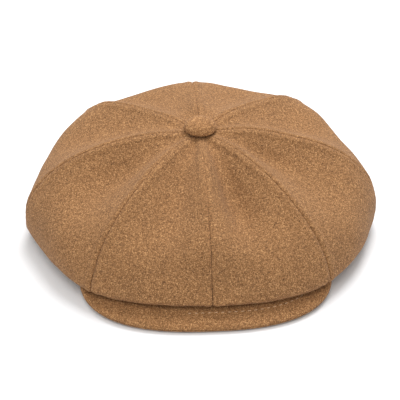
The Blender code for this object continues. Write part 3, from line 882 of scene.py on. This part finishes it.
class Look:
    """A Principled material with helpers to add nodes to it."""

    def __init__(self, name, roughness, metallic=0.0, sheen=0.0, sheen_roughness=0.5, sheen_tint=(1, 1, 1)):
        self.material = bpy.data.materials.new(name)
        self.material.use_nodes = True
        self.tree = self.material.node_tree
        self.shader = self.tree.nodes["Principled BSDF"]
        self.shader.inputs["Roughness"].default_value = roughness
        self.shader.inputs["Metallic"].default_value = metallic
        self.shader.inputs["Sheen Weight"].default_value = sheen
        self.shader.inputs["Sheen Roughness"].default_value = sheen_roughness
        self.shader.inputs["Sheen Tint"].default_value = (*sheen_tint, 1)

    def add(self, kind, *values, output=0, **settings):
        """A node whose inputs, in order, are linked or set; None leaves one alone. Returns an output."""
        made = self.tree.nodes.new("ShaderNode" + kind)
        for key, value in settings.items():
            setattr(made, key, value)
        for socket, value in zip(made.inputs, values):
            if isinstance(value, bpy.types.NodeSocket):
                self.tree.links.new(value, socket)
            elif value is not None:
                socket.default_value = value
        return made.outputs[output]

    def math(self, operation, *values):
        return self.add("Math", *values, operation=operation)

    def sum(self, first, first_share, second, second_share):
        return self.math("MULTIPLY_ADD", first, first_share, self.math("MULTIPLY", second, second_share))

    def position(self):
        return self.add("TexCoord", output=3)

    def cloth_uv(self):
        return self.add("UVMap", uv_map="cloth")

    def speckle(self, place, size, detail=2.0, roughness=0.5):
        """Noise with features of about size metres."""
        return self.add("TexNoise", place, None, 1 / size, detail, roughness)

    def bands(self, place, pitch, wavering, direction="X", detail_scale=1.0):
        """Bands about pitch metres apart."""
        values = (place, WAVE_PERIOD / pitch, wavering, 1.0, detail_scale)
        return self.add("TexWave", *values, bands_direction=direction)

    def fibres(self, place, length, width, turn):
        """Noise drawn out into short fibres in one direction."""
        scale = (1 / width, 1 / width, 1 / length)
        mapped = self.add("Mapping", place, None, turn, scale)
        return self.add("TexNoise", mapped, None, 1.0, 1.0, 0.5)

    def ramp(self, factor, *stops):
        """Colours or greys along a 0 to 1 factor, from pairs of place and value."""
        made = self.tree.nodes.new("ShaderNodeValToRGB")
        self.tree.links.new(factor, made.inputs[0])
        elements = made.color_ramp.elements
        while len(elements) < len(stops):
            elements.new(0.5)
        for element, (place, value) in zip(elements, stops):
            colour = value if isinstance(value, tuple) else (value, value, value)
            element.position = place
            element.color = (*colour, 1)
        return made.outputs[0]

    def mix(self, factor, first, second, blend="MIX"):
        made = self.tree.nodes.new("ShaderNodeMix")
        made.data_type = "RGBA"
        made.blend_type = blend
        for index, value in ((0, factor), (6, first), (7, second)):
            if isinstance(value, bpy.types.NodeSocket):
                self.tree.links.new(value, made.inputs[index])
            else:
                made.inputs[index].default_value = value if index == 0 else (*value, 1)
        return made.outputs[2]

    def colour(self, socket):
        self.tree.links.new(socket, self.shader.inputs["Base Color"])

    def clouded_colour(self, socket, size, dark, light):
        """The colour, varied from dark to light over patches of about size metres."""
        shade = self.ramp(self.speckle(self.position(), size), (0.3, dark), (0.7, light))
        self.colour(self.mix(1.0, socket, shade, "MULTIPLY"))

    def relief(self, height, depth, strength=1.0):
        """Bump of about depth metres from a 0 to 1 height."""
        bump_node = self.tree.nodes.new("ShaderNodeBump")
        bump_node.inputs["Strength"].default_value = strength
        bump_node.inputs["Distance"].default_value = depth
        self.tree.links.new(height, bump_node.inputs["Height"])
        self.tree.links.new(bump_node.outputs[0], self.shader.inputs["Normal"])

    def rough(self, socket):
        self.tree.links.new(socket, self.shader.inputs["Roughness"])


def wool_look(name="wool_melton", lift=1.0):
    """Brushed melton: felted fibres of mixed browns, mottled at about a millimetre.

    lift brightens the ground colours as painted light, for the pieces where the cloth is drawn tight: the
    brim and the button.
    """
    look = Look(name, 0.95, sheen=0.04, sheen_roughness=0.5, sheen_tint=(1.0, 0.80, 0.58))
    place = look.position()
    fine = look.speckle(place, 0.0008, 2.0, 0.6)
    mottle = look.speckle(place, 0.0018)
    one = look.fibres(place, 0.0042, 0.00032, (0.3, 0.9, 0.2))
    two = look.fibres(place, 0.0036, 0.00030, (1.2, -0.4, 0.9))
    three = look.fibres(place, 0.0046, 0.00034, (-0.8, 0.2, 2.1))
    hairs = look.math("MAXIMUM", look.math("MAXIMUM", one, two), three)
    dark_hairs = look.math("MINIMUM", look.math("MINIMUM", one, two), three)
    heather = look.sum(fine, 0.72, mottle, 0.28)
    base = look.ramp(
        heather,
        (0.36, tuple(lift * c for c in (0.070, 0.025, 0.006))),
        (0.46, tuple(lift * c for c in (0.190, 0.082, 0.024))),
        (0.54, tuple(lift * c for c in (0.295, 0.138, 0.047))),
        (0.64, tuple(lift * c for c in (0.600, 0.330, 0.142))),
    )
    light = look.ramp(hairs, (0.60, 0.0), (0.74, 0.55))
    dark = look.ramp(dark_hairs, (0.27, 0.50), (0.40, 0.0))
    mixed = look.mix(light, base, (0.52, 0.31, 0.155))
    mixed = look.mix(dark, mixed, (0.115, 0.047, 0.015))
    look.clouded_colour(mixed, 0.026, 0.96, 1.03)
    height = look.math("MULTIPLY_ADD", hairs, 0.5, look.sum(fine, 0.6, mottle, 0.35))
    look.relief(height, 0.0006, 0.55)
    return look.material


def satin_look():
    """Brown satin lining: fine floats that catch the light, over a soft unevenness."""
    look = Look("lining_satin", 0.38, sheen=0.15, sheen_roughness=0.3, sheen_tint=(0.8, 0.6, 0.45))
    place = look.cloth_uv()
    stretched = look.add("Mapping", place, None, None, (5200, 700, 1))
    floats = look.add("TexNoise", stretched, None, 1.0, 2.0, 0.5)
    base = look.ramp(floats, (0.30, (0.052, 0.026, 0.014)), (0.70, (0.094, 0.050, 0.029)))
    look.clouded_colour(base, 0.018, 0.85, 1.12)
    look.rough(look.ramp(floats, (0.2, 0.30), (0.8, 0.46)))
    look.relief(floats, 0.00012, 0.4)
    return look.material


def twill_look():
    """Cotton twill: fine diagonal ribs with slubs."""
    look = Look("sweatband_twill", 0.85, sheen=0.15, sheen_tint=(0.9, 0.75, 0.6))
    place = look.cloth_uv()
    turned_uv = look.add("Mapping", place, None, (0, 0, radians(52)), (1, 1, 1))
    ribs = look.bands(turned_uv, 0.0011, 0.6, detail_scale=2.0)
    slubs = look.speckle(look.position(), 0.0009, 3.0)
    height = look.sum(ribs, 0.7, slubs, 0.5)
    base = look.ramp(height, (0.25, (0.060, 0.032, 0.018)), (0.85, (0.150, 0.088, 0.052)))
    look.clouded_colour(base, 0.020, 0.86, 1.10)
    look.relief(height, 0.0003, 0.6)
    return look.material


def elastic_look():
    """Ribbed woven elastic: cords across the width, knitted over."""
    look = Look("elastic_webbing", 0.75)
    place = look.cloth_uv()
    cords = look.bands(place, 0.0016, 0.3, "Y")
    knit = look.bands(place, 0.0008, 0.8)
    height = look.sum(cords, 0.6, knit, 0.4)
    look.colour(look.ramp(height, (0.15, (0.030, 0.017, 0.011)), (0.85, (0.095, 0.058, 0.038))))
    look.relief(height, 0.0004, 0.7)
    return look.material


def tape_look():
    """Plain woven label tape, unevenly beaten up."""
    look = Look("label_tape", 0.72, sheen=0.1)
    place = look.position()
    warp = look.bands(place, 0.0006, 0.4)
    weft = look.bands(place, 0.0006, 0.4, "Z")
    height = look.sum(warp, 0.5, weft, 0.5)
    base = look.ramp(height, (0.1, (0.50, 0.42, 0.31)), (0.9, (0.70, 0.62, 0.49)))
    look.clouded_colour(base, 0.006, 0.90, 1.05)
    look.relief(height, 0.0002, 0.6)
    return look.material


def buckram_look():
    """Stiffened open weave, cream."""
    look = Look("buckram_weave", 0.90)
    place = look.position()
    across = look.bands(place, 0.0014, 0.5)
    level = look.bands(place, 0.0014, 0.5, "Z")
    height = look.math("MULTIPLY", across, level)
    look.colour(look.ramp(height, (0.05, (0.34, 0.31, 0.24)), (0.6, (0.66, 0.62, 0.52))))
    look.relief(height, 0.0004, 0.8)
    return look.material


def plastic_look():
    """Matte sheet plastic with a faint pebble."""
    look = Look("visor_board", 0.55)
    pebble = look.speckle(look.position(), 0.0016)
    look.colour(look.ramp(pebble, (0.3, (0.50, 0.50, 0.48)), (0.7, (0.60, 0.60, 0.58))))
    look.rough(look.ramp(pebble, (0.3, 0.48), (0.7, 0.62)))
    look.relief(pebble, 0.0002, 0.4)
    return look.material


def metal_look():
    """Bare pressed steel with fine drawing marks."""
    look = Look("button_steel", 0.35, metallic=1.0)
    marks = look.fibres(look.position(), 0.010, 0.0002, (pi / 2, 0, 0.4))
    look.colour(look.ramp(marks, (0.3, (0.50, 0.49, 0.47)), (0.7, (0.62, 0.61, 0.59))))
    look.rough(look.ramp(marks, (0.3, 0.28), (0.7, 0.45)))
    look.relief(marks, 0.00005, 0.5)
    return look.material


def thread_look(name="sewing_thread", dark=(0.150, 0.072, 0.031), light=(0.300, 0.160, 0.078)):
    """Twisted sewing thread."""
    look = Look(name, 0.70)
    twist = look.bands(look.position(), 0.0009, 1.5, "DIAGONAL")
    look.colour(look.ramp(twist, (0.2, dark), (0.8, light)))
    look.relief(twist, 0.0002, 0.8)
    return look.material


def make_looks():
    return {
        "wool": wool_look(),
        # A brightened copy of the wool: painted light for the brim and the button.
        "painted_light_wool": wool_look("wool_painted_light", 1.14),
        "lining": satin_look(),
        "sweatband": twill_look(),
        "elastic": elastic_look(),
        "label": tape_look(),
        "buckram": buckram_look(),
        "visor_plastic": plastic_look(),
        "button_metal": metal_look(),
        "thread": thread_look(),
        "light_thread": thread_look("light_thread", (0.56, 0.35, 0.19), (0.85, 0.62, 0.40)),
    }


def dress_solids(looks):
    """The solids that stay in sight keep their shape and take the detailed materials."""
    kept = {
        "band_stiffener": "buckram",
        "button_shell": "button_metal",
        "button_back": "button_metal",
        "button_thread": "thread",
    }
    for node, look in kept.items():
        data = frame["nodes"][node].data
        data.materials.clear()
        data.materials.append(looks[look])


# Studio -----------------------------------

VIEW_ELEVATION = radians(36)
VIEW_AZIMUTH = radians(-4.19)
VIEW_DISTANCE = 1.40
LENS = 143.2
AIM_UP = 0.0275
AIM_RIGHT = -0.0013
LIGHT_TARGET = (0, 0, 0.04)
FLOOR_REACH = 6.0


def make_camera():
    e, a = VIEW_ELEVATION, VIEW_AZIMUTH
    back = Vector((sin(a) * cos(e), -cos(a) * cos(e), sin(e)))
    right = Vector((cos(a), sin(a), 0))
    up = back.cross(right)
    data = bpy.data.cameras.new("camera")
    data.lens = LENS
    data.sensor_width = 36
    data.clip_end = 20
    camera = add_object("camera", data)
    camera.location = Vector(ORIGIN) + back * VIEW_DISTANCE
    target = Vector(ORIGIN) + up * AIM_UP + right * AIM_RIGHT
    camera.rotation_euler = (camera.location - target).to_track_quat("Z", "Y").to_euler()
    bpy.context.scene.camera = camera


def add_light(name, place, size, power):
    data = bpy.data.lights.new(name, "AREA")
    data.shape = "DISK"
    data.size = size
    data.energy = power
    light = add_object(name, data)
    light.location = place
    light.rotation_euler = (Vector(place) - Vector(LIGHT_TARGET)).to_track_quat("Z", "Y").to_euler()


def make_studio():
    floor_data = bpy.data.meshes.new("floor")
    level = cad_low.z - 0.0005
    corners = [(x * FLOOR_REACH, y * FLOOR_REACH, level) for x, y in ((-1, -1), (1, -1), (1, 1), (-1, 1))]
    floor_data.from_pydata(corners, [], [(0, 1, 2, 3)])
    look = Look("floor_paper", 0.9)
    look.shader.inputs["Base Color"].default_value = (0.88, 0.89, 0.91, 1)
    floor_data.materials.append(look.material)
    add_object("floor", floor_data)
    bpy.context.scene.view_settings.view_transform = "Standard"
    world = bpy.data.worlds.new("studio")
    world.use_nodes = True
    background = world.node_tree.nodes["Background"]
    background.inputs[0].default_value = (1.0, 0.98, 0.95, 1)
    background.inputs[1].default_value = 0.60
    bpy.context.scene.world = world
    add_light("key", (0.28, 0.75, 1.5), 1.1, 26.5)
    add_light("fill", (-0.35, -1.1, 1.7), 1.6, 17)


def main():
    looks = make_looks()
    crown = Crown()
    make_crown(crown, looks)
    make_lining(crown, looks)
    make_band(looks)
    make_brim(looks)
    make_button(looks)
    make_maker_label(crown, looks)
    make_size_label(looks)
    make_care_label(looks)
    make_band_stitches(looks)
    dress_solids(looks)
    make_studio()
    make_camera()


main()
